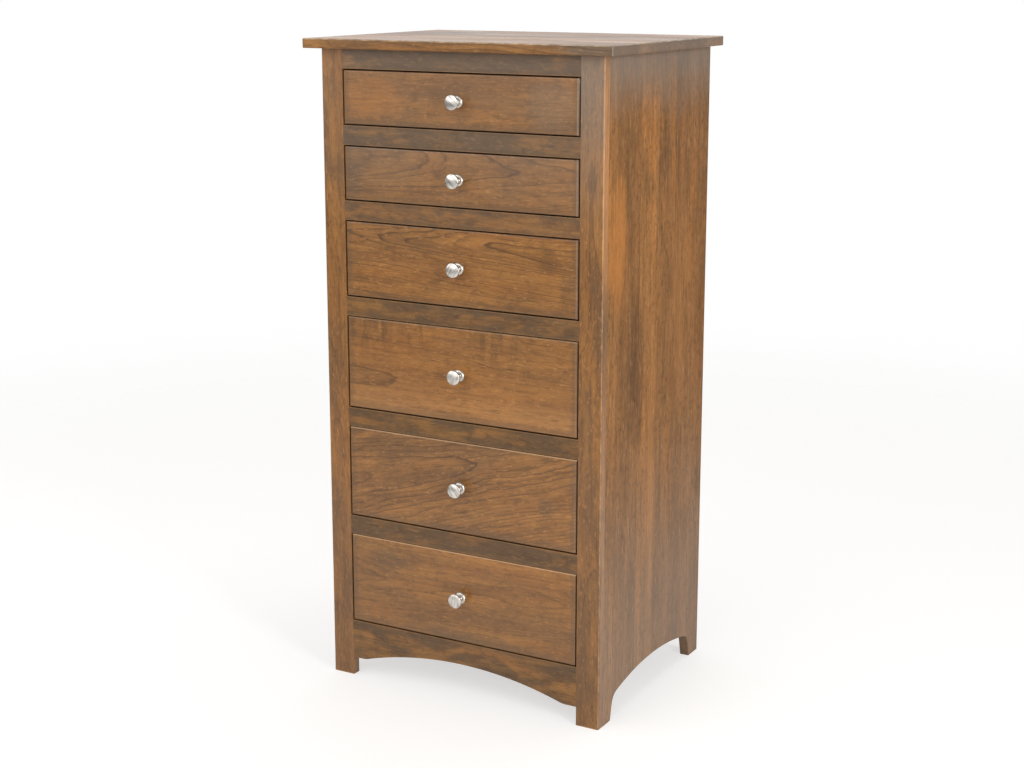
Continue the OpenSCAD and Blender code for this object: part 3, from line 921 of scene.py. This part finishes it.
def make_knob(i):
    low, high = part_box(f"drawer_{i}_knob")
    centre = Vector(((low.x + high.x) / 2, high.y, (low.z + high.z) / 2))
    knob = lathe(f"knob_{i}", knob_profile((high.x - low.x) / 2, high.y - low.y), centre)
    knob.data.materials.append(metal(f"nickel_{i}", NICKEL, NICKEL_DULL, roughness=0.36,
                                     turned_about=centre))
    knob.data.materials.append(metal(f"nickel_face_{i}", NICKEL_FACE, NICKEL, roughness=0.26,
                                     brushed=True))
    brush_face(knob.data, centre, BRUSHING[i])
    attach(knob, f"drawer_{i}")
    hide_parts(f"drawer_{i}_knob")


# Brads of the back panel: the radius and rise of their heads, their distance from its edges, the
# widest step between them, and the steps round a head and the rings in it, as shares of its radius
BRAD_R = 0.0016
BRAD_RISE = 0.0003
BRAD_IN = 0.0045
BRAD_STEP = 0.11
BRAD_STEPS = 16
BRAD_RINGS = 1.0, 0.86, 0.55

# Half the width of a rail across the back, on whose middle a row of brads lies
BACK_RAIL_HALF = 0.03


def spread(low, high, step):
    """Even places from low to high, with at most a step between them."""
    n = math.ceil((high - low) / step)
    return [low + (high - low) * k / n for k in range(n + 1)]


def brad_places():
    """Places along the rebates and the rails that the back panel is fixed to."""
    low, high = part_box("back_panel")
    rail_low, rail_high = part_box("back_rails")
    left, right = low.x + BRAD_IN, high.x - BRAD_IN
    places = [(x, z) for x in (left, right)
              for z in spread(low.z + BRAD_IN, high.z - BRAD_IN, BRAD_STEP)]
    return places + [(x, z) for z in (rail_low.z + BACK_RAIL_HALF, rail_high.z - BACK_RAIL_HALF)
                     for x in spread(left, right, BRAD_STEP)[1:-1]]


def make_brads():
    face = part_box("back_panel")[1].y
    turn = [2 * math.pi * k / BRAD_STEPS for k in range(BRAD_STEPS)]
    b = bmesh.new()
    for x, z in brad_places():
        rings = []
        for share in BRAD_RINGS:
            r, y = BRAD_R * share, face + BRAD_RISE * math.sqrt(1 - share ** 2)
            rings.append([b.verts.new((x + r * math.cos(a), y, z + r * math.sin(a)))
                          for a in turn])
        for outer, inner in zip(rings, rings[1:]):
            for k in range(BRAD_STEPS):
                j = (k + 1) % BRAD_STEPS
                b.faces.new((outer[j], outer[k], inner[k], inner[j]))
        b.faces.new(rings[-1][::-1])
        b.faces.new(rings[0])
    brads = new_piece("back_brads", b)
    brads.data.materials.append(metal("zinc_brads", ZINC, ZINC_DULL, roughness=0.4))
    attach(brads, "carcase")


# The floor: its radius, the steps round it, its roughness, its glow for the camera and for gloss,
# and the distances from its middle between which it fades into the white
FLOOR_R = 4
FLOOR_STEPS = 96
FLOOR_ROUGH = 0.7
FLOOR_GLOW = 0.6
FLOOR_FADE = 1.3, 3.8


def in_picture(g):
    """1 for what the camera sees, by gloss or through glass too, and 0 for all else."""
    ray = g.add("LightPath").outputs
    return g.math("MAXIMUM", ray["Is Camera Ray"],
                  g.math("MAXIMUM", ray["Is Glossy Ray"], ray["Is Transmission Ray"]))


def make_stage():
    """A plain pale floor that keeps the chest's shadow and ends in the white round it."""
    bpy.ops.mesh.primitive_circle_add(vertices=FLOOR_STEPS, radius=FLOOR_R, fill_type="NGON")
    floor = bpy.context.object
    floor.name = "floor"
    g = Graph(bpy.data.materials.new("floor"))
    surface = g.add("BsdfPrincipled", {"Base Color": colour(FLOOR), "Roughness": FLOOR_ROUGH})
    glow = g.add("Emission", {"Strength": FLOOR_GLOW})
    lit = g.add("AddShader", {0: surface.outputs[0], 1: glow.outputs[0]})
    seen = g.add("MixShader", {0: in_picture(g), 1: surface.outputs[0], 2: lit.outputs[0]})
    clear = g.add("BsdfTransparent")
    faded = g.add("MixShader", {0: g.between(g.length(g.where()), *FLOOR_FADE),
                                1: seen.outputs[0], 2: clear.outputs[0]})
    floor.data.materials.append(g.finish(faded))


# The world is white for the camera. Gloss sees a far floor that's darker than the walls over it,
# and walls that get darker upwards, each by how high a direction points. In brighter places more
# comes to that: their direction, the cosines between which their light rises, and its strength.
# The first is behind the chest and the second in front. All else gets one even light.
FAR_FLOOR = -0.13, -0.05, 0.3, 0.6
WALLS = 0.3, 0.6, 1, 0.4
BRIGHT_PLACES = (((-0.49, 0.85, 0.1), 0.55, 0.9, 0.45), ((0.3, -0.9, 0.35), 0.6, 0.95, 0.5))
EVEN_LIGHT = 0.42


def make_world():
    world = bpy.data.worlds.new("studio")
    bpy.context.scene.world = world
    g = Graph(world)
    way = g.add("TexCoord").outputs["Generated"]
    rise = g.xyz(way)[2]
    room = g.times(g.between(rise, *FAR_FLOOR), g.between(rise, *WALLS))
    for direction, low, high, strength in BRIGHT_PLACES:
        toward = g.add("VectorMath", {0: way, 1: Vector(direction).normalized()},
                       operation="DOT_PRODUCT").outputs["Value"]
        room = g.plus(g.between(toward, low, high, 0, strength), room)
    ray = g.add("LightPath").outputs
    shiny = g.math("MAXIMUM", ray["Is Glossy Ray"], ray["Is Transmission Ray"])
    unseen = g.add("Mix", {"Factor": shiny, "A": EVEN_LIGHT, "B": room}).outputs[0]
    strength = g.add("Mix", {"Factor": ray["Is Camera Ray"], "A": unseen, "B": 1.0}).outputs[0]
    white = g.add("Background", {"Color": (1, 1, 1, 1), "Strength": strength})
    g.finish(white, "OutputWorld")


# Soft lamps, which all face a point near the middle of the chest: their places, widths, heights
# and powers
LAMPS = {"window": ((3.0, -1.7, 1.25), 0.7, 2.2, 66), "fill": ((-1.8, -3.3, 2.8), 6.6, 3.4, 112),
         "overhead": ((0.2, 0.6, 3.6), 2.0, 2.0, 34)}
LIT_POINT = Vector((0, 0, 0.7))


def make_lights():
    for name, (place, wide, high, power) in LAMPS.items():
        data = bpy.data.lights.new(name, "AREA")
        data.shape = "RECTANGLE"
        data.size, data.size_y = wide, high
        data.energy = power
        lamp = bpy.data.objects.new(name, data)
        bpy.context.scene.collection.objects.link(lamp)
        lamp.location = place
        aim = LIT_POINT - Vector(place)
        lamp.rotation_euler = aim.to_track_quat("-Z", "Y").to_euler()


# The photograph's view: from the right of the front, a little above the top. Lens and sensor are
# in mm.
LENS = 62.0
SENSOR = 36.0
SHIFT_Y = -0.04
VIEW_FROM = 1.6951, -3.0471, 1.4362
ROUND_RIGHT = math.radians(29.215)
PITCHED_DOWN = math.radians(12.17)


def make_camera():
    data = bpy.data.cameras.new("camera")
    data.lens = LENS
    data.sensor_width = SENSOR
    data.shift_y = SHIFT_Y
    camera = bpy.data.objects.new("camera", data)
    bpy.context.scene.collection.objects.link(camera)
    camera.location = VIEW_FROM
    camera.rotation_euler = (math.pi / 2 - PITCHED_DOWN, 0, ROUND_RIGHT)
    bpy.context.scene.camera = camera


make_camera()
dress_frame()
dress_hidden()
for number in FRONTS:
    dress_drawer(number)
make_brads()
make_stage()
make_world()
make_lights()
bpy.context.scene.view_settings.view_transform = "Standard"
